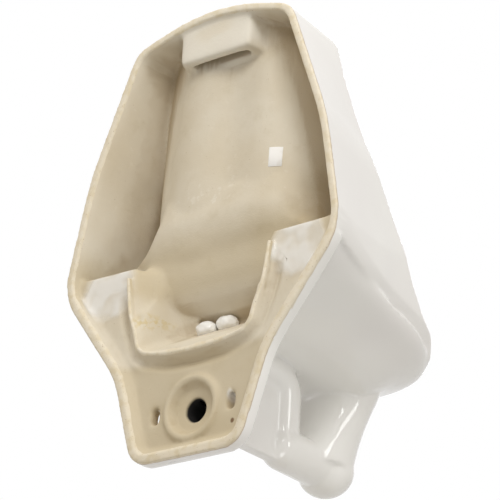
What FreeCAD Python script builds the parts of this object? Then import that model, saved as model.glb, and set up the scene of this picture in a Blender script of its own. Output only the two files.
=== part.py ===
# Wall-hung vitreous china urinal with its own trap, back left bare as it leaves the kiln.
# Millimetres. Origin: outlet axis on the wall plane. X to the right seen from the front,
# Y into the wall, Z up; the bowl stands off the wall toward minus Y.
import os
import math
import FreeCAD
import Part

Vec = FreeCAD.Vector
Y_AXIS = Vec(0, 1, 0)
Z_AXIS = Vec(0, 0, 1)

# China walls
wall = 12.0             # cast walls of shell and basin
neck_depth = 24.0       # neck plate, wall plane to glazed face
plate_recess = 13.0     # the face of the neck plate lies this far in front of the wall plane
body_reach = 430.0      # length of the tapered body before its front is cut
fold_rear = 203.0       # height of the fold between sides and underside, at the wall
fold_fall = 0.122       # the fold drops this much for each millimetre forward
hood_foot = 560.0       # sides end and hood begins
beyond = 300.0          # reach of a cutting block, clear of the body

# Rear outline and the same outline carried forward to body_reach: x, z, rounding, right half
rear_half = [(92, -71, 38), (133, 62, 150), (243.5, 208, 85), (211.5, 380, 400), (139.5, 567.5, 41),
             (0, 608, 300)]
fore_half = [(70, -75, 26), (92, 62, 100), (132, 208, 46), (116, 380, 220), (108, 564, 32), (0, 602, 220)]

# Front edge seen from the side, y and z from the hood down to the lip
front_edge = [(-128, 625), (-147, 565), (-160, 500), (-178, 436), (-206, 388), (-242, 348),
              (-275, 306), (-301, 257), (-331, 213), (-372, 191), (-440, 184)]

# Lip seen from above: half an ellipse ahead of lip_centre, sides running back to the wall
lip_centre = -300.0
lip_half_width = 155.0
lip_length = 115.0
lip_side_rear = 241.0
lip_start = math.asin(0.155)     # the sides meet the ellipse at this angle

# Underside, levels from the fold down: half width at the neck, half width and y at the waist,
# y of the nose, height at the neck, height at the nose
underside_levels = [(222, 151, -318, -413, 203, 154), (213, 148, -318, -408, 190, 145),
                    (150, 124, -308, -364, 166, 124), (92, 100, -288, -330, 152, 106),
                    (50, 62, -284, -320, 147, 97)]

# Basin, levels from the hood down: y of the back, y of the nose, half width of the back,
# half width of the sides, height
basin_levels = [(-38, -470, 98, 192, 630), (-38, -470, 107, 196, 440), (-38, -470, 117, 184, 312),
                (-39, -452, 131, 172, 262), (-48, -428, 149, 164, 228), (-66, -412, 146, 158, 200),
                (-100, -394, 122, 140, 166), (-160, -376, 88, 106, 136), (-254, -362, 48, 58, 114)]
straight_levels = 3     # the first levels make the straight back and sides

# Drain and strainer
drain_y = -307.0
drain_radius = 30.0
strainer_radius = 36.0
strainer_thick = 3.0
strainer_hole = 4.2
strainer_rows = [(6, 13), (12, 25.5)]     # holes in a row, radius of the row
bar_half = 33.0
bar_width = 10.0
bar_thick = 4.0
screw_radius = 2.5
screw_head = 6.0
dome_radius = 9.0
seat_gap = 0.3          # clearance of loose hardware in the china

# Trap: front leg levels z, half x, half y, y of the centre
leg_levels = [(114, 70, 47, -315), (75, 55, 43, -309), (35, 45, 48, -298), (0, 39, 52, -291)]
heel_radius = 37.5
heel_y = -306.0
rear_leg_y = -206.0
rear_leg_radius = 24.5
dip_z = 52.0            # height of both legs where the bend of the dip begins
bend_radius = 30.0
crown_z = 107.0
drop_y = -80.0
sole_radius = 30.0
sole_z = 3.0
web_half = 10.0
web_z = (-20, 104)
well_top = 26.0
well_foot = 18.0
well_depth = 48.0
# Fairing from the neck plate to the drop: y, half width, low, high, corner radius
neck_levels = [(-neck_depth, 84, -58, 122, 34), (-60, 46, -32, 130, 30), (-106, 27, -21, 136, 20)]

# Tray above the outlet, rear and fore edge: x, z, rounding, right half
tray_rear = [(100, 84, 24), (120, 214, 0.5)]
tray_fore = [(70, 146, 18), (92, 214, 0.5)]
tray_slope = [(-4, 108), (-15, 158), (-34, 186)]     # y and z along the rear edge of its sides
tray_edge = -4.0
tray_end = -100.0
tray_wall = 7.0
tray_brim = 200.0       # outline points above this are the open top of the tray
apron_foot = [(118, 64, 34), (138, 214, 0.5)]
apron_top = 190.0
window = [(106, 150, 3), (124, 260, 1)]     # gap between the ears behind the tray

# Outlet plate
ring_radius = 48.0
outlet_radius = 16.0
slot_offset = 65.0
slot_width = 13.0
slot_length = 25.0
ear_top = 232.0         # the plate reaches up this far at both sides of the tray
ear_foot = 183.0
# Half section of the raised ring: radius over the ring radius, y
ring_section = [(4, -plate_recess - 1), (2, -plate_recess), (-3, -6.5), (-9, -7.5), (-17, -20)]
ring_floor = -21.0

# Hanger pocket under the hood
hanger_half = 61.5
hanger_drop = 80.0      # foot of the pocket below the top of the rear outline
hanger_face = -8.0
hanger_flare = 8.0
hanger_corner = 6.0
hanger_slot = (50, 12, 40)     # half width, thickness and depth of the slot for the wall hanger
hanger_slot_y = -34.0

# Flush spreader under the hood
spread_half = 58.0
spread_front = -116.0
spread_back = -40.0
spread_drop = 108.0     # foot of the spreader below the top of the rear outline
spread_wall = 9.0
spread_corner = 30.0
flush_hole = 3.2
flush_pitch = 10.5
flush_each_side = 4
flush_y = -97.0
flush_bow = 1.5         # each hole stands this much farther back than its inner neighbour

# Flush inlet spud
spud_y = -75.0
spud_outer = 13.3
spud_tip = 13.0         # the free end is turned down for the coupling
spud_inner = 10.3
spud_flange = 23.0
flange_thick = 3.0
spud_top = 634.0
deck_z = 602.5          # flat seat for the spud on the hood
deck_thick = 16.0
spud_hole = 19.0
seat_radius = 27.0
deck_margin = 4.0
gasket_thick = 3.5
washer_radius = 26.0
washer_thick = 2.0
nut_corner = 25.4
nut_height = 11.0
tip_gap = 1.5
thread_gap = 0.2

# Glazed dabs on the tray: radius and centre; paper label: x and z limits, thickness
dabs = {"plug_left": (12, (34, -74, 137)), "plug_right": (14, (3, -80, 142))}
label_x = (-101, -84)
label_z = (345, 375)
label_thick = 0.5


def at_y(y):
    return lambda a, b: Vec(a, y, b)


def at_z(z):
    return lambda a, b: Vec(a, b, z)


def both_sides(half):
    """Full counter-clockwise outline from its right half."""
    return half + [(-x, z, r) for x, z, r in reversed(half) if x > 0]


def inset(points, gap):
    """Move each side of an outline inward and keep the roundings concentric."""
    moved = []
    for i, (bx, by, radius) in enumerate(points):
        ax, ay, _ = points[i - 1]
        cx, cy, _ = points[(i + 1) % len(points)]
        u = Vec(bx - ax, by - ay, 0).normalize()
        v = Vec(cx - bx, cy - by, 0).normalize()
        share = gap / (1 + u.dot(v))
        convex = u.x * v.y - u.y * v.x > 0
        new_radius = max(radius - gap, 0.5) if convex else radius + gap
        moved.append((bx - (u.y + v.y) * share, by + (u.x + v.x) * share, new_radius))
    return moved


def rounded(points, place):
    """Closed wire round the corner points, each corner an arc of its own radius."""
    arcs = []
    for i, (bx, by, radius) in enumerate(points):
        ax, ay, _ = points[i - 1]
        cx, cy, _ = points[(i + 1) % len(points)]
        corner = Vec(bx, by, 0)
        back = Vec(ax - bx, ay - by, 0).normalize()
        ahead = Vec(cx - bx, cy - by, 0).normalize()
        half = back.getAngle(ahead) / 2
        run = radius / math.tan(half)
        middle = corner + (back + ahead).normalize() * (radius / math.sin(half) - radius)
        arcs.append([place(p.x, p.y) for p in (corner + back * run, middle, corner + ahead * run)])
    edges = []
    for i, (start, middle, end) in enumerate(arcs):
        edges.append(Part.Arc(start, middle, end).toShape())
        edges.append(Part.makeLine(end, arcs[(i + 1) % len(arcs)][0]))
    return Part.Wire(edges)


def box_outline(half_x, low, high, radius):
    return [(half_x, low, radius), (half_x, high, radius), (-half_x, high, radius), (-half_x, low, radius)]


def curve(points):
    spline = Part.BSplineCurve()
    spline.interpolate(points)
    return spline.toShape()


def loop(points):
    """Smooth closed wire through the points."""
    spline = Part.BSplineCurve()
    spline.interpolate(points, PeriodicFlag=True)
    return Part.Wire([spline.toShape()])


def oval(half_x, half_y, y, z):
    angles = [k * math.pi / 4 for k in range(8)]
    return loop([Vec(half_x * math.cos(a), y + half_y * math.sin(a), z) for a in angles])


def prism(wire, along):
    return Part.Face(wire).extrude(along)


def polygon(points):
    return Part.makePolygon(points + points[:1])


def across(points):
    """Prism through the whole width of the body from an outline of y and z."""
    return prism(polygon([Vec(-beyond, y, z) for y, z in points]), Vec(2 * beyond, 0, 0))


def block(x0, x1, y0, y1, z0, z1):
    return Part.makeBox(x1 - x0, y1 - y0, z1 - z0, Vec(x0, y0, z0))


def upright(radius, x, y, low, high):
    return Part.makeCylinder(radius, high - low, Vec(x, y, low))


def tube(radius, low, high):
    direction = high - low
    return Part.makeCylinder(radius, direction.Length, low, direction)


def collar(outer, bore, low, high):
    """Upright ring round the spud axis."""
    return upright(outer, 0, spud_y, low, high).cut(upright(bore, 0, spud_y, low - 1, high + 1))


def taper(gap, rear_y):
    """The tapered body between the rear outline and its forward copy."""
    rear = rounded(inset(both_sides(rear_half), gap), at_y(rear_y))
    fore = rounded(inset(both_sides(fore_half), gap), at_y(-body_reach))
    return Part.makeLoft([rear, fore], True, True)


def lip_plan(gap):
    """Upright prism whose front end is the rounded nose of the lip."""
    ellipse = Part.Ellipse(Vec(0, lip_centre, 0), lip_half_width - gap, lip_length - gap)
    nose = Part.ArcOfEllipse(ellipse, math.pi + lip_start, 2 * math.pi - lip_start).toShape()
    left = nose.valueAt(nose.FirstParameter)
    right = nose.valueAt(nose.LastParameter)
    rear = lip_side_rear - gap
    sides = Part.makePolygon([right, Vec(rear, 5, 0), Vec(-rear, 5, 0), left])
    return prism(Part.Wire([nose] + sides.Edges), Vec(0, 0, spud_top + beyond))


def fold_z(y):
    return fold_rear + fold_fall * y


def above_fold():
    top = spud_top + beyond
    front = -body_reach - beyond
    return across([(beyond, fold_z(beyond)), (front, fold_z(front)), (front, top), (beyond, top)])


def front_waste():
    """Everything ahead of the front edge."""
    front = curve([Vec(-beyond, y, z) for y, z in front_edge])
    first, last = front_edge[0], front_edge[-1]
    far = -body_reach - beyond
    top = spud_top + beyond
    corners = [(last[0], last[1]), (far, last[1]), (far, top), (first[0], top), (first[0], first[1])]
    rest = Part.makePolygon([Vec(-beyond, y, z) for y, z in corners])
    return prism(Part.Wire([front] + rest.Edges), Vec(2 * beyond, 0, 0))


def underside_level(level, gap, rear_y):
    neck_half, waist_half, waist_y, nose_y, neck_z, nose_z = level
    neck_half = neck_half - gap
    waist_half = waist_half - gap
    nose_y = nose_y + gap
    middle = (0.5 * (neck_half + waist_half) + 2, 0.5 * (rear_y + waist_y))
    cheek = (0.66 * waist_half, waist_y + 0.75 * (nose_y - waist_y))
    half = [(neck_half, rear_y), middle, (waist_half, waist_y), cheek]
    plan = half + [(0, nose_y)] + [(-x, y) for x, y in reversed(half)]
    fall = (nose_z - neck_z) / (nose_y - rear_y)
    points = [Vec(x, y, neck_z + gap + fall * (y - rear_y)) for x, y in plan]
    return Part.Wire([curve(points), Part.makeLine(points[-1], points[0])])


def hull(gap, rear_y):
    return Part.makeLoft([underside_level(level, gap, rear_y) for level in underside_levels], True, False)


def basin_solid(gap):
    """Basin as a solid, from the drain up through the hood and out through the front."""
    rings = []
    for back_y, nose_y, back_half, side_half, z in basin_levels:
        back = back_y - gap
        nose = nose_y + gap
        corner = back_half - gap
        side = side_half - gap
        length = back - nose
        quarter = [(0.70 * corner, back - 0.003 * length), (corner, back - 0.05 * length),
                   (0.4 * corner + 0.6 * side, back - 0.26 * length), (side, back - 0.62 * length),
                   (0.70 * side, back - 0.91 * length)]
        plan = [(0, back)] + quarter + [(0, nose)] + [(-x, y) for x, y in reversed(quarter)]
        rings.append(loop([Vec(x, y, z + gap) for x, y in plan]))
    straight = Part.makeLoft(rings[:straight_levels], True, True)
    return straight.fuse(Part.makeLoft(rings[straight_levels - 1:], True, False))


def swept(edges, radius):
    start = edges[0].valueAt(edges[0].FirstParameter)
    tangent = edges[0].tangentAt(edges[0].FirstParameter)
    profile = Part.Wire([Part.makeCircle(radius, start, tangent)])
    return Part.Wire(edges).makePipeShell([profile], True, False)


def quarter_bend(corner, start, end):
    """Arc from start to end whose tangents meet at corner."""
    middle = corner + (start + end - corner * 2) * (1 - math.sqrt(0.5))
    return Part.Arc(start, middle, end).toShape()


def rear_path():
    """Axis of the water way from the foot of the rear leg over the crown to the outlet."""
    r = bend_radius
    foot = Vec(0, rear_leg_y, dip_z)
    rise = Vec(0, rear_leg_y, crown_z - r)
    crown_in = Vec(0, rear_leg_y + r, crown_z)
    crown_out = Vec(0, drop_y - r, crown_z)
    drop_in = Vec(0, drop_y, crown_z - r)
    drop_out = Vec(0, drop_y, r)
    outlet_in = Vec(0, drop_y + r, 0)
    return [Part.makeLine(foot, rise),
            quarter_bend(Vec(0, rear_leg_y, crown_z), rise, crown_in),
            Part.makeLine(crown_in, crown_out),
            quarter_bend(Vec(0, drop_y, crown_z), crown_out, drop_in),
            Part.makeLine(drop_in, drop_out),
            quarter_bend(Vec(0, drop_y, 0), drop_out, outlet_in),
            Part.makeLine(outlet_in, Vec(0, 0, 0) - Y_AXIS * neck_depth)]


def dip_path():
    """Axis of the water way from the drain down through the dip to the foot of the rear leg."""
    top = Vec(0, drain_y, basin_levels[-1][-1] - well_depth)
    foot = Vec(0, drain_y, dip_z)
    lowest = Vec(0, (drain_y + rear_leg_y) / 2, dip_z - (rear_leg_y - drain_y) / 2)
    return [Part.makeLine(top, foot), Part.Arc(foot, lowest, Vec(0, rear_leg_y, dip_z)).toShape()]


def tray_solid(gap):
    """Tray above the outlet between its rear and fore edge, open at the top when hollowed."""
    reach = 1.0 if gap else 0.0
    lift = 40.0 if gap else 0.0
    ends = []
    for half, y in ((tray_rear, tray_edge + reach), (tray_fore, tray_end - reach)):
        outline = [(x, z + lift if z > tray_brim else z, r) for x, z, r in inset(both_sides(half), gap)]
        ends.append(rounded(outline, at_y(y)))
    return Part.makeLoft(ends, True, True)


pieces = {}
hood_top = rear_half[-1][1]
bowl_floor = basin_levels[-1][-1]
floor_top = bowl_floor + wall
inner_upper = taper(wall, 1).common(lip_plan(wall)).common(above_fold())
inner = inner_upper.fuse(hull(wall, -neck_depth + 1))
ahead_of_edge = front_waste()
basin_outer = basin_solid(0)
basin_inner = basin_solid(wall)
tray_block = tray_solid(0)
tray_room = tray_solid(tray_wall)
slope_end = tray_slope[-1][0]
slope_cut = across(tray_slope + [(slope_end, beyond), (beyond, beyond), (beyond, tray_slope[0][1])])

# Basin: back wall and bowl in one, standing inside the shell and cut off with it along the front edge
seat_radius_drain = strainer_radius + seat_gap
strainer_seat = upright(seat_radius_drain, 0, drain_y, floor_top - strainer_thick, floor_top + wall)
bar_cut = block(-bar_half - seat_gap, bar_half + seat_gap, drain_y - bar_width / 2 - seat_gap,
                drain_y + bar_width / 2 + seat_gap, bowl_floor - 1, bowl_floor + bar_thick + seat_gap)
basin = basin_outer.cut(basin_inner).common(inner).cut(ahead_of_edge)
basin = basin.cut(upright(drain_radius, 0, drain_y, bowl_floor - wall, floor_top + wall))
pieces["basin"] = basin.cut(strainer_seat).cut(bar_cut)

# Trap: front leg under the drain, dip, rear leg, crown, and the drop to the outlet inside a fairing
leg_rings = [oval(half_x, half_y, y, z) for z, half_x, half_y, y in leg_levels]
neck_rings = [rounded(box_outline(half_x, low, high, radius), at_y(y))
              for y, half_x, low, high, radius in neck_levels]
heel = Vec(0, heel_y, 0)
toe = Vec(0, rear_leg_y, sole_z)
trap_outer = Part.makeLoft(leg_rings, True, False).fuse([
    Part.makeSphere(heel_radius, heel),
    tube(sole_radius, Vec(0, heel_y, sole_z), toe),
    Part.makeSphere(sole_radius - 1, toe),
    upright(rear_leg_radius, 0, rear_leg_y, sole_z, dip_z + 1),
    swept(rear_path(), rear_leg_radius),
    block(-web_half, web_half, rear_leg_y, neck_levels[1][0], *web_z),
    Part.makeLoft(neck_rings, True, False)])
trap_outer = trap_outer.cut(tray_block).cut(basin_outer)
well = Part.makeCone(well_foot, well_top, well_depth + wall, Vec(0, drain_y, bowl_floor - well_depth))
trap = trap_outer.cut(swept(dip_path() + rear_path(), outlet_radius)).cut(well)

# Shell: one cast wall, given as hood, two sides, lip and underside; open to the rear and the front
deck_foot = deck_z - deck_thick
outer = taper(0, 0).common(lip_plan(0)).common(above_fold()).cut(ahead_of_edge).fuse(hull(0, -neck_depth))
shell = outer.fuse(upright(seat_radius + deck_margin, 0, spud_y, deck_foot - wall, deck_z)).cut(inner)
shell = shell.cut(upright(seat_radius, 0, spud_y, deck_foot - 2 * wall, deck_foot))
shell = shell.cut(upright(spud_hole, 0, spud_y, deck_foot - wall, spud_top))
shell = shell.cut(trap_outer).cut(tray_block).cut(strainer_seat)
upper = shell.common(above_fold())
rear_part = block(-beyond, beyond, lip_centre, beyond, 0, hood_foot)
pieces["underside"] = shell.cut(above_fold())
pieces["hood"] = upper.common(block(-beyond, beyond, -body_reach, beyond, hood_foot, spud_top))
pieces["lip"] = upper.common(block(-beyond, beyond, -body_reach - beyond, lip_centre, 0, hood_foot))
pieces["side_right"] = upper.common(rear_part).common(block(0, beyond, lip_centre, beyond, 0, hood_foot))
pieces["side_left"] = upper.common(rear_part).common(block(-beyond, 0, lip_centre, beyond, 0, hood_foot))

# Tray behind the bowl, its sides cut back along a slope
pieces["tray"] = tray_block.cut(tray_room).cut(basin_outer).cut(slope_cut)

# Outlet plate: flat neck with its rim, apron below the tray, ears, outlet ring and upright slots
rear_outline = both_sides(rear_half)
recess = Part.makeLoft([rounded(inset(rear_outline, wall), at_y(0)),
                        rounded(inset(rear_outline, 2 * wall), at_y(-plate_recess))], True, True)
ears = block(-beyond, beyond, -neck_depth, -plate_recess, ear_foot, ear_top).common(inner_upper)
apron = Part.makeLoft([rounded(both_sides(tray_rear), at_y(tray_edge)),
                       rounded(both_sides(apron_foot), at_y(-plate_recess - 1))], True, True)
apron = apron.cut(slope_cut).cut(block(-beyond, beyond, -beyond, beyond, apron_top, apron_top + beyond))
ring_points = [Vec(ring_radius + step, y, 0) for step, y in ring_section]
ring_points += [Vec(outlet_radius - 1, ring_floor, 0), Vec(outlet_radius - 1, -neck_depth, 0),
                Vec(ring_points[0].x, -neck_depth, 0)]
ring = Part.Face(polygon(ring_points)).revolve(Vec(0, 0, 0), Y_AXIS, 360)
behind = Vec(0, neck_depth, 0)
through = Vec(0, drop_y - 2 * neck_depth, 0)
plate = prism(rounded(rear_outline, at_y(0)), Vec(0, -neck_depth, 0)).cut(above_fold())
plate = plate.cut(recess).fuse(ears)
plate = plate.cut(tube(ring_radius - 2, Vec(0, -neck_depth, 0), behind)).fuse(ring)
plate = plate.cut(tube(outlet_radius, Vec(0, drop_y, 0), behind))
plate = plate.fuse(apron).cut(tray_block)
plate = plate.cut(prism(rounded(both_sides(window), at_y(neck_depth)), through))
for side in (-1, 1):
    outline = [(x + side * slot_offset, z, r) for x, z, r in
               box_outline(slot_width / 2, -slot_length / 2, slot_length / 2, slot_width / 2 - 0.01)]
    slot = prism(rounded(outline, at_y(neck_depth)), through)
    plate = plate.cut(slot)
    trap = trap.cut(slot)
pieces["outlet_plate"] = plate
pieces["trap"] = trap

# Hanger pocket: clay box between hood and basin, with a slot from below for the wall hanger
hanger_foot = hood_top - hanger_drop
pocket_ends = []
for y, flare in ((hanger_face, 0), (basin_levels[0][0], hanger_flare)):
    outline = box_outline(hanger_half + flare, hanger_foot - flare / 2, hood_top + beyond, hanger_corner)
    pocket_ends.append(rounded(outline, at_y(y)))
slot_half, slot_thick, slot_deep = hanger_slot
hanger = Part.makeLoft(pocket_ends, True, True).common(inner_upper).cut(basin_outer)
pieces["hanger_pocket"] = hanger.cut(block(-slot_half, slot_half, hanger_slot_y, hanger_slot_y + slot_thick,
                                           hanger_foot - hanger_flare, hanger_foot + slot_deep))

# Flush spreader: box under the hood with a row of flush holes in its floor
spread_foot = hood_top - spread_drop
outline = [(spread_half, spread_front, spread_corner), (spread_half, spread_back, 1),
           (-spread_half, spread_back, 1), (-spread_half, spread_front, spread_corner)]
spreader = prism(rounded(outline, at_z(spread_foot)), Vec(0, 0, beyond))
hollow = prism(rounded(inset(outline, spread_wall), at_z(spread_foot + spread_wall)), Vec(0, 0, beyond))
spreader = spreader.cut(hollow).common(inner_upper).common(basin_inner)
for i in range(-flush_each_side, flush_each_side + 1):
    hole_y = flush_y + abs(i) * flush_bow
    spreader = spreader.cut(upright(flush_hole, i * flush_pitch, hole_y, spread_foot - 1, spread_foot + wall))
pieces["flush_spreader"] = spreader

# Inlet spud: flanged body from below, rubber sleeve through the deck, friction washer and nut on top
flange_top = deck_foot - gasket_thick
nut_foot = deck_z + washer_thick
nut_top = nut_foot + nut_height
spud_bore = spud_outer + thread_gap
section = [(spud_inner, flange_top - flange_thick), (spud_flange, flange_top - flange_thick),
           (spud_flange, flange_top), (spud_outer, flange_top), (spud_outer, nut_top + tip_gap),
           (spud_tip, nut_top + tip_gap), (spud_tip, spud_top), (spud_inner, spud_top)]
spud = Part.Face(polygon([Vec(r, 0, z) for r, z in section])).revolve(Vec(0, 0, 0), Z_AXIS, 360)
pieces["spud_body"] = spud.translated(Y_AXIS * spud_y)
pieces["spud_gasket"] = collar(seat_radius - 2, spud_bore, flange_top, deck_foot).fuse(
    collar(spud_hole - seat_gap, spud_bore, deck_foot, deck_z))
pieces["spud_washer"] = collar(washer_radius, spud_bore, deck_z, nut_foot)
turns = [k * math.pi / 3 for k in range(6)]
corners = [Vec(nut_corner * math.cos(a), spud_y + nut_corner * math.sin(a), nut_foot) for a in turns]
hexagon = prism(polygon(corners), Vec(0, 0, nut_height))
pieces["spud_nut"] = hexagon.cut(upright(spud_bore, 0, spud_y, deck_z, spud_top))

# Strainer: perforated disc let into the bowl, held by a screw to a clip bar under the drain
strainer = upright(strainer_radius, 0, drain_y, floor_top - strainer_thick, floor_top)
for count, row_radius in strainer_rows:
    for k in range(count):
        angle = 2 * math.pi * k / count
        x = row_radius * math.cos(angle)
        y = drain_y + row_radius * math.sin(angle)
        strainer = strainer.cut(upright(strainer_hole, x, y, bowl_floor, floor_top + 1))
bar = block(-bar_half, bar_half, drain_y - bar_width / 2, drain_y + bar_width / 2,
            bowl_floor, bowl_floor + bar_thick)
bore = upright(screw_radius + thread_gap, 0, drain_y, bowl_floor - wall, floor_top + 1)
shank = upright(screw_radius, 0, drain_y, bowl_floor - bar_thick, floor_top)
dome = Part.makeSphere(dome_radius, Vec(0, drain_y, floor_top - screw_head))
head = dome.common(upright(screw_head, 0, drain_y, floor_top, floor_top + dome_radius))
pieces["strainer"] = strainer.cut(bore)
pieces["strainer_bar"] = bar.cut(bore)
pieces["strainer_screw"] = shank.fuse(head)

# Glazed dabs on the tray and the blank paper label on the back of the basin
for name, (radius, centre) in dabs.items():
    pieces[name] = Part.makeSphere(radius, Vec(*centre)).common(tray_room).cut(basin_outer)
pieces["paper_label"] = basin_solid(-label_thick).cut(basin_outer).common(
    block(label_x[0], label_x[1], 2 * basin_levels[0][0], 0, label_z[0], label_z[1]))

os.makedirs("parts", exist_ok=True)
for name, shape in pieces.items():
    print(name, len(shape.Solids), round(shape.Volume / 1000, 1), shape.isValid())
    shape.exportStep("parts/" + name + ".step")
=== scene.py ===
import math

import bmesh
import bpy
from mathutils import Matrix, Vector, noise
from mathutils.bvhtree import BVHTree


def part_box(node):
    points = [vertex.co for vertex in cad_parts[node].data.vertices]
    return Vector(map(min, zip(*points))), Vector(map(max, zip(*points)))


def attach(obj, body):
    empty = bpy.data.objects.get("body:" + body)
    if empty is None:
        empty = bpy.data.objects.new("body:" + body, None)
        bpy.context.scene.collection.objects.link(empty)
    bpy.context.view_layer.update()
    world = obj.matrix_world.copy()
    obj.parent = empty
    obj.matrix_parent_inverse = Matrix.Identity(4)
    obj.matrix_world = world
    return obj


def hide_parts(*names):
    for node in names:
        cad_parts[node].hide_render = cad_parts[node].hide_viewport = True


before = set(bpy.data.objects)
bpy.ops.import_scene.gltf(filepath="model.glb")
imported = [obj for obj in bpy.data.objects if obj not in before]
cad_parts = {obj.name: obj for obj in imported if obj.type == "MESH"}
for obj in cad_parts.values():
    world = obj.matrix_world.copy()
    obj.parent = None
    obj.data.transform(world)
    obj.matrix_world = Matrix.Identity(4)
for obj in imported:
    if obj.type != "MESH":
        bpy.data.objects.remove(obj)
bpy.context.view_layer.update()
scene = bpy.context.scene

# Fired china body: shell, basin, trap, tray, outlet plate and hanger pocket are cast one by one, luted
# together while the clay is soft, glazed and fired, so every joint runs over in a soft fillet and the
# back is left as raw clay.
MM = 0.001
china_nodes = ("hood", "side_left", "side_right", "lip", "underside", "basin", "trap", "tray",
               "outlet_plate", "hanger_pocket")
clay_grain = 2.5 * MM
china_triangles = 196000
rim_depth = 3.0 * MM
rim_share = 0.3              # of the sponging, left to the ground rim across its depth
merge_gap = 0.002 * MM
fillet_passes = 11
finish_passes = 3
rim_passes = 9


def baked(obj):
    """Plain mesh of an object with its modifiers applied."""
    graph = bpy.context.evaluated_depsgraph_get()
    return bpy.data.meshes.new_from_object(obj.evaluated_get(graph), preserve_all_data_layers=True,
                                           depsgraph=graph)


def add_object(name, mesh):
    """New object with this mesh, at the origin."""
    obj = bpy.data.objects.new(name, mesh)
    scene.collection.objects.link(obj)
    return obj


# Shape of the fired body beyond the plain solids, in mm: the front edge of the sides on the solids and
# on the fired piece (z, y), and the swollen back of the bowl (y of back and nose, half width of the
# back, its flat share, half width of the sides, z)
edge_solid = [(184, -440), (191, -372), (213, -331), (257, -301), (306, -275), (348, -242), (388, -206),
              (436, -178), (500, -160), (565, -147), (600, -136)]
edge_fired = [(184, -440), (187, -382), (194, -334), (211, -297), (240, -267), (288, -229), (335, -192),
              (380, -157), (440, -132), (500, -120), (560, -120), (585, -128), (600, -136)]
side_lean = [(380, 0.00106), (565, 0.00053)]     # z, draw-in of the sides per mm of depth
shell_fixed = -50            # y behind which the shell keeps the solids' form
shell_pull = (184, 208)      # z over which the front edge starts to draw back
lip_spread = 0.045           # share by which the front of the shell widens
lip_span = (-190, -310)      # y over which it does so
# Stouter front leg of the trap: y and z over which it grows, its axis, growth across and along, shift
leg_span = ((-215, -265), (128, 108))
leg_axis = -305
leg_growth = (0.09, 0.04)
leg_shift = -3
swell_thickness = Vector((0, -10, 3))
swell_levels = [(-39, -470, 116, 0.7, 186, 332), (-35, -464, 118, 0.7, 188, 312),
                (-31, -458, 124, 0.7, 190, 290), (-34, -448, 141, 0.7, 192, 264),
                (-42, -430, 173, 0.7, 192, 238), (-46, -414, 168, 0.7, 176, 204),
                (-60, -400, 134, 0.65, 154, 172), (-100, -390, 94, 0.6, 128, 148),
                (-166, -380, 70, 0.6, 100, 130), (-246, -370, 50, 0.6, 68, 114)]
# Luting beside each corner ear, a hollow fillet from the ear's inner edge down to tray and bowl (x and y
# of the edge, x and y of the foot, z), and the tray's brim, a rounded bead with a cove under it, from
# the middle up to the ear (x, z)
fillet_thickness = Vector((7, -6, 0))
fillet_hollow = 2.4
ear_fillet = [(102, -12, 46, -78, 106), (107, -12, 46, -78, 140), (111, -12, 52, -68, 170),
              (115, -12, 66, -48, 196), (117, -12, 72, -46, 212), (118, -13, 76, -45, 222),
              (120, -30, 78, -45, 232), (122, -46, 80, -46, 242)]
brim = [(0, 82), (45, 84), (84, 92), (98, 104), (105, 128), (116, 158), (124, 214)]
bead_radius = 4.5
bead_y = -5.0
cove_depth = 8.0
cove_width = 20.0
cove_start = 3.0             # gap between the brim's line and the cove
cove_fade = (195, 160)       # z over which the cove runs out upward
brim_depth = -20             # y, z and half width within which the brim lies
brim_heights = (50, 222)
brim_half = 150
# Slip run into the seam between sides and underside
seam = [(168, -235, 175), (167, -250, 173), (165, -265, 171), (163, -278, 169), (159, -292, 167),
        (154, -305, 166)]
seam_radius = 6.0


def eased(start, end, value):
    """Smooth step from 0 at start to 1 at end."""
    share = min(max((value - start) / (end - start), 0.0), 1.0)
    return share * share * (3 - 2 * share)


def along(table, at):
    """Straight interpolation in a table of pairs."""
    if at <= table[0][0]:
        return table[0][1]
    for (a, low), (b, high) in zip(table, table[1:]):
        if at <= b:
            return low + (high - low) * (at - a) / (b - a)
    return table[-1][1]


def spline(points, at):
    """Point on a smooth curve through the points, counted from zero."""
    k = min(int(at), len(points) - 2)
    a, b, c, d = (points[min(max(k + i, 0), len(points) - 1)] for i in (-1, 0, 1, 2))
    u = at - k
    bend = 2 * a - 5 * b + 4 * c - d
    twist = 3 * b - a - 3 * c + d
    return 0.5 * (2 * b + (c - a) * u + bend * u ** 2 + twist * u ** 3)


def fired(node, co):
    """Place on the fired piece of a point of a plain solid."""
    x, y, z = co / MM
    if node == "trap":
        stout = eased(*leg_span[0], y) * eased(*leg_span[1], z)
        x *= 1 + leg_growth[0] * stout
        y += stout * (leg_growth[1] * (y - leg_axis) + leg_shift)
    elif node not in ("tray", "outlet_plate", "hanger_pocket"):
        if y < shell_fixed:
            pull = (along(edge_fired, z) - shell_fixed) / (along(edge_solid, z) - shell_fixed)
            moved = shell_fixed + (y - shell_fixed) * (1 + eased(*shell_pull, z) * (pull - 1))
            lean = along(side_lean, z)
            x *= (1 + lean * moved) / (1 + lean * y)
            y = moved
        x *= 1 + lip_spread * eased(*lip_span, y)
    return Vector((x, y, z)) * MM


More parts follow.
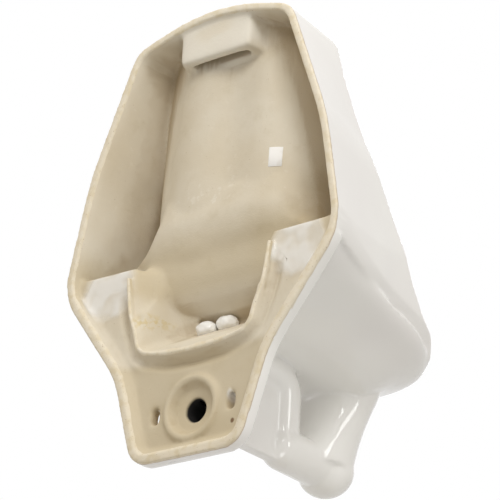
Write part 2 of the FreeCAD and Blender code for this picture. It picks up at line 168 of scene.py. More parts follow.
def sheet(rows, thickness):
    """Closed sheet on a grid of points, thickened by a shift."""
    form = bmesh.new()
    sides = [[[form.verts.new((point + shift) * MM) for point in row] for row in rows]
             for shift in (Vector(), thickness)]
    for side in sides:
        for row, below in zip(side, side[1:]):
            for k in range(len(row) - 1):
                form.faces.new((row[k], row[k + 1], below[k + 1], below[k]))
    outer, inner = sides
    border = [(r, 0) for r in range(len(rows))] + [(len(rows) - 1, k) for k in range(1, len(rows[0]))]
    border += [(r, len(rows[0]) - 1) for r in range(len(rows) - 2, -1, -1)]
    border += [(0, k) for k in range(len(rows[0]) - 2, 0, -1)]
    for (r, k), (q, m) in zip(border, border[1:] + border[:1]):
        form.faces.new((outer[r][k], outer[q][m], inner[q][m], inner[r][k]))
    bmesh.ops.recalc_face_normals(form, faces=form.faces)
    return form


def rod(line, radius, axis, sides=12, steps=6, nudge=0.05):
    """Closed round bar along a smooth line; axis is a direction the line never takes."""
    form = bmesh.new()
    rings = []
    last = len(line) - 1
    turn = [math.tau * i / sides for i in range(sides)]
    for k in range(steps * last + 1):
        at = k / steps
        centre = spline(line, at)
        run = spline(line, min(at + nudge, last)) - spline(line, max(at - nudge, 0))
        across = axis.cross(run).normalized()
        over = run.cross(across).normalized()
        rings.append([form.verts.new((centre + radius * (math.cos(a) * across + math.sin(a) * over)) * MM)
                      for a in turn])
    for here, there in zip(rings, rings[1:]):
        for i in range(sides):
            form.faces.new((here[i - 1], here[i], there[i], there[i - 1]))
    form.faces.new(rings[0])
    form.faces.new(rings[-1])
    bmesh.ops.recalc_face_normals(form, faces=form.faces)
    return form


def poured(form):
    """Add a closed form to the casting."""
    mesh = bpy.data.meshes.new("poured")
    form.to_mesh(mesh)
    form.free()
    casting.from_mesh(mesh)
    bpy.data.meshes.remove(mesh)


casting = bmesh.new()
for node in china_nodes:
    piece = bmesh.new()
    piece.from_mesh(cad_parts[node].data)
    bmesh.ops.remove_doubles(piece, verts=piece.verts, dist=merge_gap)
    for vertex in piece.verts:
        vertex.co = fired(node, vertex.co)
    poured(piece)

# Back of the bowl: each level is a plan curve from side to side, and smooth curves run up through them
plan_depths = (0.62, 0.2, 0.05, 0.003)     # share of the reach at side, turn, corner and flat
turn_share = 0.4                           # of the corner's half width in the turn's
rows_per_level = 6
swell_columns = 80
swell_start, swell_length = 0.7, 6.6       # of a plan's points, so that its ends stay in the sides
plans = []
for back, nose, corner, flat, side, z in swell_levels:
    reach = back - nose
    widths = (side, turn_share * corner + (1 - turn_share) * side, corner, flat * corner)
    half = [(width, back - share * reach) for width, share in zip(widths, plan_depths)]
    whole_plan = half + [(0, back)] + [(-x, y) for x, y in reversed(half)]
    plans.append([Vector((x, y, z)) for x, y in whole_plan])
upright = list(zip(*plans))
swell_rows = []
for r in range(rows_per_level * (len(plans) - 1) + 1):
    plan = [spline(line, r / rows_per_level) for line in upright]
    swell_rows.append([spline(plan, swell_start + swell_length * k / swell_columns)
                       for k in range(swell_columns + 1)])
poured(sheet(swell_rows, swell_thickness))

# Fillets beside the ears, slip in the seams and the bead of the brim
fillet_shares = [k / 8 for k in range(9)]
for mirror in (Vector((1, 1, 1)), Vector((-1, 1, 1))):
    fillet_rows = []
    for edge_x, edge_y, foot_x, foot_y, z in ear_fillet:
        row = []
        for share in fillet_shares:
            y = foot_y + (edge_y - foot_y) * (1 - share) ** fillet_hollow
            row.append(mirror * Vector((edge_x + (foot_x - edge_x) * share, y, z)))
        fillet_rows.append(row)
    poured(sheet(fillet_rows, mirror * fillet_thickness))
    poured(rod([mirror * Vector(point) for point in seam], seam_radius, Vector((1, 0, 0))))
bead_line = [Vector((-x, bead_y, z)) for x, z in reversed(brim[1:])]
bead_line += [Vector((x, bead_y, z)) for x, z in brim]
poured(rod(bead_line, bead_radius, Vector((0, 1, 0))))
casting_mesh = bpy.data.meshes.new("china_body")
casting.to_mesh(casting_mesh)
casting.free()
china = add_object("china_body", casting_mesh)
luting = china.modifiers.new("luting", "REMESH")
luting.mode = "VOXEL"
luting.voxel_size = clay_grain
china.data = baked(china)
china.modifiers.clear()


def brim_gap(co):
    """Distance in mm from the brim's line, seen from the wall; below zero on the tray's side."""
    spot = Vector((abs(co.x), co.z)) / MM
    gaps = []
    for a, b in zip(brim, brim[1:]):
        a, b = Vector(a), Vector(b)
        share = min(max((spot - a).dot(b - a) / (b - a).length_squared, 0.0), 1.0)
        off = spot - a.lerp(b, share)
        gaps.append((off.length, 1 if off.dot(Vector(((b - a).y, (a - b).x))) > 0 else -1))
    gap, way = min(gaps)
    return gap * way


def by_brim(co):
    """Whether a point lies on the wall side near the tray's brim."""
    low, high = brim_heights
    return brim_depth * MM < co.y and low * MM < co.z < high * MM and abs(co.x) < brim_half * MM


# The cove under the brim is scraped into the soft clay
for vertex in china.data.vertices:
    if by_brim(vertex.co):
        share = min(max((brim_gap(vertex.co) - cove_start) / cove_width, 0.0), 1.0)
        scrape = cove_depth * math.sin(math.pi * share) * eased(*cove_fade, vertex.co.z / MM)
        vertex.co.y -= scrape * MM

# The rim is ground against the wall, so it is rounded less across its depth; the rest is sponged soft
sponged = china.vertex_groups.new(name="sponged")
ground = china.vertex_groups.new(name="ground")
for vertex in china.data.vertices:
    share = min(max(-vertex.co.y / rim_depth - 0.5, rim_share), 1.0)
    sponged.add([vertex.index], share, "REPLACE")
    ground.add([vertex.index], 1.0 - share, "REPLACE")
for group in (sponged, ground):
    sponge = china.modifiers.new(group.name, "SMOOTH")
    sponge.factor = 0.5
    sponge.iterations = fillet_passes if group is sponged else 2 * fillet_passes
    sponge.vertex_group = group.name
    sponge.use_y = group is sponged
thin = china.modifiers.new("thin", "DECIMATE")
thin.ratio = min(1.0, china_triangles / (2 * len(china.data.polygons)))
china.data = baked(china)
china.modifiers.clear()

# A last wipe evens the whole skin, and the rim again in its own plane, less deep on the outlet plate
plate_half = 150 * MM
plate_top = 222 * MM
plate_rim = -11 * MM
shell_rim = -26 * MM
rim = china.vertex_groups.new(name="rim")
for vertex in china.data.vertices:
    on_plate = abs(vertex.co.x) < plate_half and vertex.co.z < plate_top
    if vertex.co.y > (plate_rim if on_plate else shell_rim):
        rim.add([vertex.index], 1.0, "REPLACE")
for group, passes in (("", finish_passes), ("rim", rim_passes)):
    finish = china.modifiers.new("finish", "SMOOTH")
    finish.factor = 0.5
    finish.iterations = passes
    finish.vertex_group = group
    finish.use_y = not group
china.data = baked(china)
china.modifiers.clear()
china.vertex_groups.clear()
for polygon in china.data.polygons:
    polygon.use_smooth = True

# Raw clay is what can be seen from the wall side; the glaze covers the rest, also the trap's outside.
# How shut in a raw place is, seen along the probes, sets the painted shade that darkens the clay in the
# hollows.
outside_trap = (-0.06, 0.12)     # y and z ahead of and below which nothing is raw
wall_eyes = [Vector((x, 0.12, z)) for x in (-0.09, 0.0, 0.09) for z in (0.03, 0.16, 0.3, 0.45)]
corners = [v.co for v in china.data.vertices]
clay_skin = BVHTree.FromPolygons(corners, [p.vertices for p in china.data.polygons])
raw = china.data.attributes.new("raw", "FLOAT", "POINT")
hollow_shade = china.data.attributes.new("hollow_shade", "FLOAT", "POINT")
probes = [Vector(way).normalized() for way in
          ((1, 0, 0), (-1, 0, 0), (0, 1, 0), (0, 0, 1), (0, 0, -1), (1, 1, 1), (-1, 1, 1), (1, 1, -1),
           (-1, 1, -1), (0, 1, 1), (0, 1, -1), (1, 1, 0), (-1, 1, 0), (1, 0, 1), (-1, 0, 1), (1, 0, -1),
           (-1, 0, -1), (0, -1, -1), (0, -1, 1))]
probe_reach = 95 * MM
probe_slant = 0.2            # cosine to the surface's normal below which a probe isn't counted
skin_gap = 1.5 * MM          # from the surface to where sights and probes start
bead_raw = 14                # gap in mm to the brim's line within which the bead is raw all round
for vertex in china.data.vertices:
    if vertex.co.z < outside_trap[1] and vertex.co.y < outside_trap[0]:
        continue
    start = vertex.co + vertex.normal * skin_gap
    on_bead = by_brim(vertex.co) and abs(brim_gap(vertex.co)) < bead_raw
    sights = [eye - start for eye in wall_eyes if vertex.normal.dot(eye - start) > 0]
    hidden = all(clay_skin.ray_cast(start, sight.normalized(), sight.length)[0] is not None
                 for sight in sights)
    if hidden and not on_bead:
        continue
    raw.data[vertex.index].value = 1.0
    open_ways = [way for way in probes if vertex.normal.dot(way) > probe_slant]
    shade_hits = sum(clay_skin.ray_cast(start, way, probe_reach)[0] is not None for way in open_ways)
    hollow_shade.data[vertex.index].value = shade_hits / max(len(open_ways), 1)


def linear(hex_colour):
    """sRGB hex to linear colour."""
    parts = [int(hex_colour[i:i + 2], 16) / 255 for i in (1, 3, 5)]
    return tuple([c / 12.92 if c <= 0.04045 else ((c + 0.055) / 1.055) ** 2.4 for c in parts] + [1.0])


def add(tree, kind, inputs=None, **settings):
    """Add one node with its settings; an input is a socket to link, a value or an sRGB hex colour."""
    node = tree.nodes.new(kind)
    for name, value in settings.items():
        setattr(node, name, value)
    for socket, value in (inputs or {}).items():
        if isinstance(value, bpy.types.NodeSocket):
            tree.links.new(value, node.inputs[socket])
        else:
            node.inputs[socket].default_value = linear(value) if isinstance(value, str) else value
    return node


def new_material(name):
    """Empty node material and its tree."""
    material = bpy.data.materials.new(name)
    material.use_nodes = True
    material.node_tree.nodes.clear()
    return material, material.node_tree


def blotches(tree, size_mm, low, high, detail=3.0, roughness=0.5, least=0.0, most=1.0):
    """Soft blotches about size_mm across, from least to most as their noise goes from low to high."""
    place = add(tree, "ShaderNodeTexCoord").outputs["Object"]
    spots = add(tree, "ShaderNodeTexNoise", {"Vector": place, "Scale": 1 / (size_mm * MM),
                                             "Detail": detail, "Roughness": roughness})
    return add(tree, "ShaderNodeMapRange",
               {"Value": spots.outputs["Fac"], "From Min": low, "From Max": high,
                "To Min": least, "To Max": most}, interpolation_type="SMOOTHSTEP").outputs["Result"]


def grit(tree, size_mm, height_mm, detail=3.0, roughness=0.5):
    """Relief in metres of a grain about size_mm across and up to height_mm high."""
    place = add(tree, "ShaderNodeTexCoord").outputs["Object"]
    bumps = add(tree, "ShaderNodeTexNoise", {"Vector": place, "Scale": 1 / (size_mm * MM),
                                             "Detail": detail, "Roughness": roughness})
    return add(tree, "ShaderNodeMath", {0: bumps.outputs["Fac"], 1: height_mm * MM},
               operation="MULTIPLY").outputs[0]


def rise(tree, axis, start_mm, end_mm, shake=0.0, most=1.0):
    """Mask that grows smoothly between two places along an axis, with an edge that a shake moves."""
    place = add(tree, "ShaderNodeTexCoord").outputs["Object"]
    axes = add(tree, "ShaderNodeSeparateXYZ", {0: place})
    at = add(tree, "ShaderNodeMath", {0: axes.outputs[axis], 1: shake}, operation="ADD").outputs[0]
    return add(tree, "ShaderNodeMapRange",
               {"Value": at, "From Min": start_mm * MM, "From Max": end_mm * MM, "To Max": most},
               interpolation_type="SMOOTHSTEP").outputs["Result"]


def patch(tree, x, z, half_x, half_z, turn, ragged_mm, soft_edge, grain_mm=16, through=1000):
    """Mask of one ragged oval patch seen from the wall, centred at x and z in mm, through all depths."""
    place = add(tree, "ShaderNodeTexCoord").outputs["Object"]
    ragged = add(tree, "ShaderNodeTexNoise", {"Vector": place, "Scale": 1 / (grain_mm * MM), "Detail": 2.0})
    shake = add(tree, "ShaderNodeVectorMath", {0: ragged.outputs["Color"], 1: (0.5, 0.5, 0.5)},
                operation="SUBTRACT")
    push = add(tree, "ShaderNodeVectorMath", {0: shake.outputs[0], "Scale": ragged_mm * 2 * MM},
               operation="SCALE")
    moved = add(tree, "ShaderNodeVectorMath", {0: place, 1: push.outputs[0]}, operation="ADD")
    centred = add(tree, "ShaderNodeMapping",
                  {"Vector": moved.outputs[0], "Location": (x * MM, 0, z * MM), "Rotation": (0, turn, 0),
                   "Scale": (half_x * MM, through, half_z * MM)}, vector_type="TEXTURE")
    reach = add(tree, "ShaderNodeVectorMath", {0: centred.outputs[0]}, operation="LENGTH").outputs["Value"]
    return add(tree, "ShaderNodeMapRange",
               {"Value": reach, "From Min": 1.0 - soft_edge, "From Max": 1.0 + soft_edge,
                "To Min": 1.0, "To Max": 0.0}, interpolation_type="SMOOTHSTEP").outputs["Result"]


def stained(tree, ground, mask, colour, strength=1.0):
    """Colour laid over the ground where the mask is, at the given strength."""
    cover = add(tree, "ShaderNodeMath", {0: mask, 1: strength}, operation="MULTIPLY").outputs[0]
    return add(tree, "ShaderNodeMix", {"Factor": cover, 6: ground, 7: colour}, data_type="RGBA").outputs[2]


def skin(tree, inputs, height=None, strength=0.8):
    """Surface of a finish from its shader inputs, with a relief from a height in metres."""
    inputs = dict(inputs)
    if height is not None:
        bump = add(tree, "ShaderNodeBump", {"Height": height, "Strength": strength, "Distance": 1.0})
        inputs["Normal"] = bump.outputs["Normal"]
    shader = add(tree, "ShaderNodeBsdfPrincipled", inputs)
    add(tree, "ShaderNodeOutputMaterial", {"Surface": shader.outputs["BSDF"]})


# Vitreous china: pale raw clay, dry and faintly stained, under a thick glossy white glaze that stops at
# the ground rim in a thin burnt line. Glaze ran onto the corner ears in glassy patches. The clay's grit
# is drawn coarser than it is, so that it shows.
# Painted shade darkens the clay in its hollows, grooves, bore, the bowl's bulge and below the tray's brim;
# a painted lit patch lies on the hanger pocket.
china_material, t = new_material("vitreous_china")
seen_raw = add(t, "ShaderNodeAttribute", attribute_name="raw").outputs["Fac"]

# Where the glaze ends: a wandering line along the rim, and the runs behind it on the raw side
edge_shake = blotches(t, 12, 0.3, 0.7, least=-0.5 * MM, most=0.5 * MM)
on_rim = rise(t, "Y", -4.0, -3.2, edge_shake)
near_rim = rise(t, "Y", -6.0, -4.0, edge_shake)
clay_mask = add(t, "ShaderNodeMath", {0: seen_raw, 1: on_rim}, operation="MAXIMUM").outputs[0]
glaze_runs = 0.0
for run in ((166, 205, 46, 42, 0.15, 8, 0.2), (-163, 202, 43, 42, -0.5, 8, 0.2),
            (-63, 7, 5, 9, 0, 2, 0.4)):
    glaze_runs = add(t, "ShaderNodeMath", {0: glaze_runs, 1: patch(t, *run)},
                     operation="MAXIMUM").outputs[0]
for limit in (rise(t, "Y", -6, -9), seen_raw):
    glaze_runs = add(t, "ShaderNodeMath", {0: glaze_runs, 1: limit}, operation="MULTIPLY").outputs[0]

# Clay: broad drift, brown clouds, pale dust and specks, then painted shade, a painted lit patch and single
# stains
clay = stained(t, "#ddd5c3", blotches(t, 160, 0.35, 0.68, 4), "#d4c9b2")
clay = stained(t, clay, blotches(t, 45, 0.5, 0.78, 5, 0.65), "#c0b292", 0.35)
clay = stained(t, clay, blotches(t, 9, 0.6, 0.8, 4), "#e6dfd0", 0.3)
clay = stained(t, clay, blotches(t, 2.4, 0.76, 0.8, 1), "#a08860", 0.6)
# Painted shade: darker tan over the down-turned bulge of the bowl's back, and below the tray's brim
clay = stained(t, clay, rise(t, "Z", 170, 200), "#bfae88", rise(t, "Z", 290, 240, most=0.5))
clay = stained(t, clay, rise(t, "Z", 85, 70), "#bfae88", 0.5)
# Painted shadow: a darker brown patch low on each side, where the side walls shade the grooves
for way in (1, -1):
    clay = stained(t, clay, patch(t, way * 156, 285, 34, 48, 0, 8, 0.6), "#927c54", 0.4)
# Painted light: the hanger pocket's face at the top is washed pale, as if lit brighter
clay = stained(t, clay, patch(t, 0, 560, 84, 44, 0, 4, 0.2), "#efece2", 0.6)
clay = stained(t, clay, patch(t, 4, 568, 32, 12, 0.1, 10, 0.5), "#cdb78a", 0.18)
clay = stained(t, clay, patch(t, 12, 324, 62, 26, 0.1, 14, 0.6), "#f0ece2",
               blotches(t, 11, 0.52, 0.66, 5, 0.7, most=0.3))
clay = stained(t, clay, patch(t, 96, 147, 14, 11, 0.2, 6, 0.5), "#cdb878",
               blotches(t, 7, 0.45, 0.6, 3, most=0.55))
clay = stained(t, clay, patch(t, -71, -30, 3, 3.2, 0, 1, 0.4), "#6b4a28", 0.9)
# Painted shade: the clay darkens towards #a8916a where the probes find it shut in, in grooves, coves and
# under overhangs
shut_in_shade = add(t, "ShaderNodeAttribute", attribute_name="hollow_shade").outputs["Fac"]
hollow_shade_mask = add(t, "ShaderNodeMapRange", {"Value": shut_in_shade, "From Min": 0.2, "From Max": 0.8},
           interpolation_type="SMOOTHSTEP").outputs["Result"]
clay = stained(t, clay, hollow_shade_mask, "#a8916a", 0.6)

# Ground rim: tan and speckled, with the burnt line where the glaze meets it
rim_tan = stained(t, "#e8dfcb", blotches(t, 14, 0.4, 0.7, 4), "#ddd0b2")
rim_tan = stained(t, rim_tan, blotches(t, 2.0, 0.68, 0.74, 1), "#8d6c40", 0.6)
clay = stained(t, clay, on_rim, rim_tan, 0.8)
glaze = stained(t, "#f2f2ef", blotches(t, 240, 0.4, 0.65, 2), "#edecea")
glaze = stained(t, glaze, near_rim, "#b39365", 0.7)
colour = stained(t, glaze, clay_mask, clay)

# Inside the outlet's bore the clay is painted near black, painted shade of the deep hole
place = add(t, "ShaderNodeTexCoord").outputs["Object"]
across = add(t, "ShaderNodeVectorMath", {0: place, 1: (1, 0, 1)}, operation="MULTIPLY").outputs[0]
from_axis = add(t, "ShaderNodeVectorMath", {0: across}, operation="LENGTH").outputs["Value"]
bore_shade = add(t, "ShaderNodeMapRange", {"Value": from_axis, "From Min": 19 * MM, "From Max": 18 * MM},
              interpolation_type="SMOOTHSTEP").outputs["Result"]
y_place = add(t, "ShaderNodeSeparateXYZ", {0: place}).outputs["Y"]
bore_end = add(t, "ShaderNodeMath", {0: y_place, 1: -70 * MM}, operation="GREATER_THAN").outputs[0]
bore_shade_span = add(t, "ShaderNodeMath", {0: rise(t, "Y", -21, -25), 1: bore_end},
                operation="MULTIPLY").outputs[0]
colour = stained(t, colour, bore_shade, "#0c0806", bore_shade_span)

# Glaze pools in the runs; what is neither glazed nor run over stays dry and gritty
pooled = blotches(t, 26, 0.3, 0.7, 1, least=0.4, most=0.8)
colour = stained(t, colour, glaze_runs, "#efeeea", pooled)
not_run = add(t, "ShaderNodeMath", {0: 1.0, 1: glaze_runs}, operation="SUBTRACT").outputs[0]
dry = add(t, "ShaderNodeMath", {0: clay_mask, 1: not_run}, operation="MULTIPLY").outputs[0]
glassy = add(t, "ShaderNodeMath", {0: 1.0, 1: dry}, operation="SUBTRACT").outputs[0]
roughness = add(t, "ShaderNodeMapRange", {"Value": dry, "To Min": 0.06, "To Max": 0.78},
                interpolation_type="SMOOTHSTEP").outputs["Result"]
pool = add(t, "ShaderNodeMath", {0: pooled, 1: 3.5 * MM}, operation="MULTIPLY").outputs[0]
height = 0.0
for cover, form in ((dry, grit(t, 1.6, 0.35)), (dry, grit(t, 26, 1.05, 4, 0.6)),
                    (glassy, grit(t, 38, 0.35, 1)), (glaze_runs, pool)):
    height = add(t, "ShaderNodeMath", {0: cover, 1: form, 2: height}, operation="MULTIPLY_ADD").outputs[0]
skin(t, {"Base Color": colour, "Roughness": roughness, "IOR": 1.52}, height)
china.data.materials.clear()
china.data.materials.append(china_material)
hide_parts(*china_nodes)
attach(china, "root")

# Flush spreader: a cast china box under the hood that lets the flush water out through a row of holes
# in its floor, glazed with the bowl.
spreader_edge = 3.0 * MM
flat_angle = math.radians(2)
sharp_angle = math.radians(35)


def softened(node, width, segments=3):
    """Copy of a CAD node with its sharp edges rounded, standing for that node."""
    form = bmesh.new()
    form.from_mesh(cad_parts[node].data)
    bmesh.ops.remove_doubles(form, verts=form.verts, dist=merge_gap)
    if node == "flush_spreader":
        for vertex in form.verts:
            vertex.co = fired(node, vertex.co)
    bmesh.ops.dissolve_limit(form, angle_limit=flat_angle, verts=form.verts, edges=form.edges)
    mesh = bpy.data.meshes.new(node + "_form")
    form.to_mesh(mesh)
    form.free()
    obj = add_object(node + "_form", mesh)
    edge = obj.modifiers.new("edge", "BEVEL")
    edge.width = width
    edge.segments = segments
    edge.limit_method = "ANGLE"
    edge.angle_limit = sharp_angle
    obj.data = baked(obj)
    obj.modifiers.clear()
    obj.data.shade_smooth()
    obj.data.materials.clear()
    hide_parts(node)
    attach(obj, "root")
    return obj


# White glaze on china: glassy, faintly wavy, cool white
glaze_material, t = new_material("white_glaze")
tint = stained(t, "#f2f2ef", blotches(t, 60, 0.4, 0.65, 2), "#eceae6")
skin(t, {"Base Color": tint, "IOR": 1.52, "Roughness": 0.06}, grit(t, 22, 0.3, 1))
spreader = softened("flush_spreader", spreader_edge)
spreader.data.materials.append(glaze_material)

# Two lumps of white glaze that dripped onto the tray and set there in the kiln as glassy dabs, one
# larger than the other, melted fast to the clay.
lumpiness = 0.13
lump_pattern = 1.7
lump_shift = 90              # takes each dab to its own place in the noise
for node, plump in (("plug_left", 1.35), ("plug_right", 1.1)):
    low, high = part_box(node)
    centre = (low + high) / 2
    reach = (high - low) / 2
    lump = bmesh.new()
    bmesh.ops.create_icosphere(lump, subdivisions=5, radius=1.0)
    for vertex in lump.verts:
        bulk = plump + lumpiness * noise.noise(vertex.co * lump_pattern + centre * lump_shift)
        vertex.co = centre + Vector([vertex.co[k] * reach[k] * bulk for k in range(3)])
    lump_mesh = bpy.data.meshes.new(node + "_dab")
    lump.to_mesh(lump_mesh)
    lump.free()
    dab = add_object(node + "_dab", lump_mesh)
    dab.data.shade_smooth()
    dab.data.materials.append(glaze_material)
    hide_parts(node)
    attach(dab, "root")

# Strainer: a pressed stainless disc in the drain, two rows of round holes, held by a slotted screw that
# pulls up a clip bar under the drain.
strainer_low, strainer_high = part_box("strainer")
strainer_centre = (strainer_low + strainer_high) / 2
strainer_sizes = {"Disc radius": (strainer_high.x - strainer_low.x) / 2,
                  "Thickness": strainer_high.z - strainer_low.z,
                  "Hole radius": 4.2 * MM, "Inner row": 13 * MM, "Outer row": 25.5 * MM}
strainer_edge = 0.5 * MM
bar_edge = 0.8 * MM
screw_edge = 0.4 * MM
screw_slot = (16 * MM, 1.4 * MM, 2.6 * MM)

# Stainless steel, pressed and brushed: grey, with a soft streaked shine
steel_material, t = new_material("stainless_steel")
steel_colour = stained(t, "#c9c9c7", blotches(t, 30, 0.35, 0.7), "#b4b3b0")
place = add(t, "ShaderNodeTexCoord").outputs["Object"]
brush = add(t, "ShaderNodeMapping", {"Vector": place, "Scale": (1.0, 14.0, 14.0)})
streak = add(t, "ShaderNodeTexNoise",
             {"Vector": brush.outputs[0], "Scale": 1 / (9 * MM), "Detail": 4.0}).outputs["Fac"]
steel_rough = add(t, "ShaderNodeMapRange",
                  {"Value": streak, "From Min": 0.3, "From Max": 0.7, "To Min": 0.22, "To Max": 0.4},
                  interpolation_type="SMOOTHSTEP").outputs["Result"]
skin(t, {"Base Color": steel_colour, "Roughness": steel_rough, "Metallic": 1.0})

perforation = bpy.data.node_groups.new("strainer_perforations", "GeometryNodeTree")
perforation.interface.new_socket("Geometry", in_out="INPUT", socket_type="NodeSocketGeometry")
perforation.interface.new_socket("Geometry", in_out="OUTPUT", socket_type="NodeSocketGeometry")
sockets = {name: perforation.interface.new_socket(name, in_out="INPUT", socket_type="NodeSocketFloat")
           for name in strainer_sizes}
given = add(perforation, "NodeGroupInput").outputs
disc = add(perforation, "GeometryNodeMeshCylinder",
           {"Radius": given["Disc radius"], "Depth": given["Thickness"], "Vertices": 96})
drill = add(perforation, "GeometryNodeMeshCylinder",
            {"Radius": given["Hole radius"], "Depth": 20 * MM, "Vertices": 24})
rows = add(perforation, "GeometryNodeJoinGeometry")
for row, holes in (("Inner row", 6), ("Outer row", 12)):
    circle = add(perforation, "GeometryNodeMeshCircle", {"Radius": given[row], "Vertices": holes})
    perforation.links.new(circle.outputs["Mesh"], rows.inputs[0])
drills = add(perforation, "GeometryNodeInstanceOnPoints",
             {"Points": rows.outputs[0], "Instance": drill.outputs["Mesh"]})
drills = add(perforation, "GeometryNodeRealizeInstances", {"Geometry": drills.outputs[0]})
punched = add(perforation, "GeometryNodeMeshBoolean",
              {"Mesh 1": disc.outputs["Mesh"], "Mesh 2": drills.outputs[0]}, operation="DIFFERENCE")
moved = add(perforation, "GeometryNodeTransform",
            {"Geometry": punched.outputs["Mesh"], "Translation": strainer_centre})
whole = add(perforation, "GeometryNodeRealizeInstances", {"Geometry": moved.outputs[0]})
coated = add(perforation, "GeometryNodeSetMaterial",
             {"Geometry": whole.outputs[0], "Material": steel_material})
add(perforation, "NodeGroupOutput", {0: coated.outputs[0]})
strainer = add_object("strainer_disc", bpy.data.meshes.new("strainer_disc"))
punch = strainer.modifiers.new("punch", "NODES")
punch.node_group = perforation
for name, size in strainer_sizes.items():
    punch[sockets[name].identifier] = size
edge = strainer.modifiers.new("edge", "BEVEL")
edge.width = strainer_edge
edge.segments = 2
edge.limit_method = "ANGLE"
strainer.data = baked(strainer)
strainer.modifiers.clear()
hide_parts("strainer")
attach(strainer, "root")
for node, width in (("strainer_bar", bar_edge), ("strainer_screw", screw_edge)):
    piece = softened(node, width, 2)
    if node == "strainer_screw":
        low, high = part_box(node)
        slot_mesh = bpy.data.meshes.new("driver")
        driver_form = bmesh.new()
        bmesh.ops.create_cube(driver_form, size=1.0)
        bmesh.ops.scale(driver_form, verts=driver_form.verts, vec=screw_slot)
        bmesh.ops.translate(driver_form, verts=driver_form.verts, vec=(0, (low.y + high.y) / 2, high.z))
        driver_form.to_mesh(slot_mesh)
        driver_form.free()
        driver_blade = add_object("driver", slot_mesh)
        slot_cut = piece.modifiers.new("slot", "BOOLEAN")
        slot_cut.object = driver_blade
        piece.data = baked(piece)
        piece.modifiers.clear()
        bpy.data.objects.remove(driver_blade)
    piece.data.materials.clear()
    piece.data.materials.append(steel_material)

# Inlet spud: a turned brass body screwed up from below the hood with a rubber sleeve, a steel friction
# washer and a brass hexagon nut on top; its free end is threaded for the flush valve.
spud_axis = Vector((0, sum(corner.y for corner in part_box("spud_body")) / 2, 0))
thread_pitch = 1.8 * MM
thread_depth = 0.9 * MM
spud_low, spud_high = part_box("spud_body")
nut_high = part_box("spud_nut")[1]
flange_radius = (spud_high.x - spud_low.x) / 2
body_radius = 13.3 * MM
tip_radius = 13.0 * MM
bore_radius = 10.3 * MM
flange_top = spud_low.z + 3 * MM
tip_foot = nut_high.z + 1.5 * MM
thread_start = tip_foot + 0.5 * MM
thread_end = spud_high.z - 0.8 * MM
points_per_thread = 6
nut_edge = 1.0 * MM
washer_edge = 0.4 * MM
gasket_edge = 0.8 * MM

# Cast brass, turned: warm yellow, dulled in patches
brass_material, t = new_material("cast_brass")
brass_colour = stained(t, "#cdb26a", blotches(t, 12, 0.35, 0.7, 4), "#a98743")
brass_rough = blotches(t, 3, 0.3, 0.7, least=0.24, most=0.42)
skin(t, {"Base Color": brass_colour, "Roughness": brass_rough, "Metallic": 1.0})

chamfer = 0.6 * MM
section = [(bore_radius, spud_low.z), (flange_radius - chamfer, spud_low.z),
           (flange_radius, spud_low.z + chamfer), (flange_radius, flange_top - chamfer),
           (flange_radius - chamfer, flange_top), (body_radius, flange_top),
           (body_radius, tip_foot), (tip_radius, tip_foot)]
thread_length = thread_end - tip_foot
thread_steps = int(thread_length / thread_pitch * points_per_thread)
section += [(tip_radius, tip_foot + thread_length * k / thread_steps) for k in range(1, thread_steps + 1)]
section += [(tip_radius - thread_depth, spud_high.z), (bore_radius, spud_high.z)]
turns = 72
turned = bmesh.new()
rings = []
for k in range(turns):
    angle = 2 * math.pi * k / turns
    ring = []
    for radius, z in section:
        cut = 0.0
        if radius == tip_radius and z > thread_start:
            phase = ((z - tip_foot) / thread_pitch - k / turns) % 1.0
            cut = thread_depth * abs(2 * phase - 1)
        ring.append(turned.verts.new((spud_axis.x + (radius - cut) * math.cos(angle),
                                      spud_axis.y + (radius - cut) * math.sin(angle), z)))
    rings.append(ring)
for k in range(turns):
    here, there = rings[k], rings[(k + 1) % turns]
    for i in range(len(section)):
        j = (i + 1) % len(section)
        turned.faces.new((here[i], there[i], there[j], here[j]))
bmesh.ops.recalc_face_normals(turned, faces=turned.faces)
spud_mesh = bpy.data.meshes.new("spud_turned")
turned.to_mesh(spud_mesh)
turned.free()
spud = add_object("spud_turned", spud_mesh)
spud_mesh.materials.append(brass_material)
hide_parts("spud_body")
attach(spud, "root")
nut = softened("spud_nut", nut_edge, 2)
nut.data.materials.append(brass_material)
washer = softened("spud_washer", washer_edge, 2)
washer.data.materials.append(steel_material)

# Black rubber, moulded: dark and dull, with a fine pebble that is drawn coarser than it is
rubber_material, t = new_material("black_rubber")
rubber_colour = stained(t, "#1c1c1c", blotches(t, 8, 0.35, 0.7), "#2b2a29")
skin(t, {"Base Color": rubber_colour, "Roughness": 0.62}, grit(t, 0.8, 0.15, 2), 0.6)
gasket = softened("spud_gasket", gasket_edge, 2)
gasket.data.materials.append(rubber_material)

# Paper label: a small blank white sticker, die cut from coated paper and pressed onto the dry clay of
# the back, a little grubby.
label_edge = 0.1 * MM

# Coated label paper: flat white with grubby clouds and a faint fibre, drawn coarser than it is
paper_material, t = new_material("label_paper")
paper_colour = stained(t, "#f4f3f0", blotches(t, 14, 0.45, 0.75, 4), "#e3e0d8")
skin(t, {"Base Color": paper_colour, "Roughness": 0.55}, grit(t, 1.2, 0.06), 0.6)
label = softened("paper_label", label_edge, 1)
label.data.materials.append(paper_material)

# Studio: a pale floor disc well below the part, white behind it and soft lamps around it, most of them
# on the camera's side.
floor_radius = 0.55
floor_centre = (0, -0.15, -0.75)
floor_mesh = bpy.data.meshes.new("floor")
floor_form = bmesh.new()
bmesh.ops.create_circle(floor_form, cap_ends=True, segments=96, radius=floor_radius)
bmesh.ops.translate(floor_form, verts=floor_form.verts, vec=floor_centre)
floor_form.to_mesh(floor_mesh)
floor_form.free()
floor = add_object("floor", floor_mesh)
floor_material, t = new_material("pale_floor")
paint = add(t, "ShaderNodeBsdfDiffuse", {"Color": "#f4f4f2"})
add(t, "ShaderNodeOutputMaterial", {"Surface": paint.outputs[0]})
floor_mesh.materials.append(floor_material)

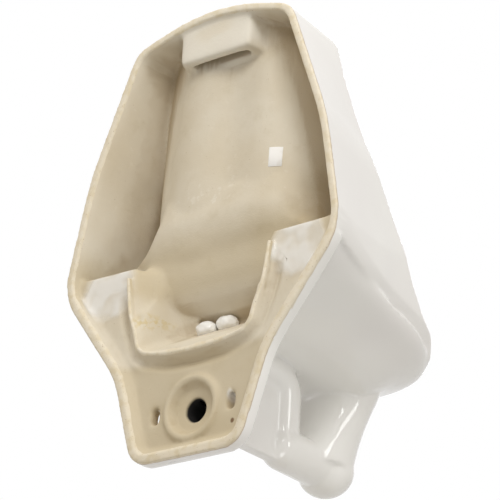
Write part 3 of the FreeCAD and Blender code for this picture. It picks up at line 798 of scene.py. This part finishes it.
world = bpy.data.worlds.new("studio")
scene.world = world
world.use_nodes = True
t = world.node_tree
t.nodes.clear()
rays = add(t, "ShaderNodeLightPath").outputs
seen = rays["Is Camera Ray"]
for kind in ("Is Glossy Ray", "Is Transmission Ray"):
    seen = add(t, "ShaderNodeMath", {0: seen, 1: rays[kind]}, operation="MAXIMUM").outputs[0]
sky = add(t, "ShaderNodeSeparateXYZ", {0: add(t, "ShaderNodeTexCoord").outputs["Generated"]})
overhead = add(t, "ShaderNodeMapRange",
               {"Value": sky.outputs["Z"], "From Min": -0.8, "From Max": 0.6,
                "To Min": 0.29, "To Max": 0.55},
               interpolation_type="SMOOTHSTEP").outputs["Result"]
ambient = add(t, "ShaderNodeBackground", {"Strength": overhead, "Color": "#fff6ea"})
backdrop = add(t, "ShaderNodeBackground", {"Color": "#ffffff", "Strength": 1.0})
either = add(t, "ShaderNodeMixShader", {0: seen, 1: ambient.outputs[0], 2: backdrop.outputs[0]})
add(t, "ShaderNodeOutputWorld", {"Surface": either.outputs[0]})

# Lamps: name, place, aim, width, height and watts
for name, place_at, aim, width, height, watts in (
        ("key", (-1.9, 1.7, 1.9), (0, -0.1, 0.3), 0.9, 1.2, 34),
        ("side", (-2.7, 0.2, 0.6), (0, -0.2, 0.2), 0.6, 1.3, 15),
        ("front", (-0.5, 2.6, 1.7), (0, -0.1, 0.3), 0.9, 1.0, 14),
        ("top", (0.3, 0.6, 2.8), (0, -0.1, 0.3), 1.0, 1.0, 8),
        ("room", (1.9, -2.5, 1.9), (0, -0.2, 0.3), 1.4, 1.4, 24),
        ("fill", (1.9, 1.9, 0.3), (0, -0.1, 0.2), 1.0, 1.0, 5),
        ("low", (-1.7, 0.8, -2.0), (0, -0.25, 0.1), 0.7, 0.9, 8)):
    lamp = bpy.data.lights.new(name, "AREA")
    lamp.shape = "RECTANGLE"
    lamp.size = width
    lamp.size_y = height
    lamp.energy = watts
    lamp_object = bpy.data.objects.new(name, lamp)
    scene.collection.objects.link(lamp_object)
    lamp_object.location = place_at
    lamp_object.rotation_euler = (Vector(aim) - Vector(place_at)).to_track_quat("-Z", "Y").to_euler()

# Camera: low behind the part, looking up into its back
camera = bpy.data.objects.new("camera", bpy.data.cameras.new("camera"))
scene.collection.objects.link(camera)
right = Vector((-0.7834, -0.6191, 0.0553)).normalized()
up = Vector((-0.2104, 0.3478, 0.9137))
up = (up - right * up.dot(right)).normalized()
facing = Matrix((right, up, right.cross(up))).transposed().to_4x4()
camera.matrix_world = Matrix.Translation((-2.1413, 2.4643, -1.2066)) @ facing
camera.data.sensor_width = 36.0
camera.data.lens = 189.2
camera.data.clip_end = 50.0
scene.camera = camera
scene.view_settings.view_transform = "Standard"
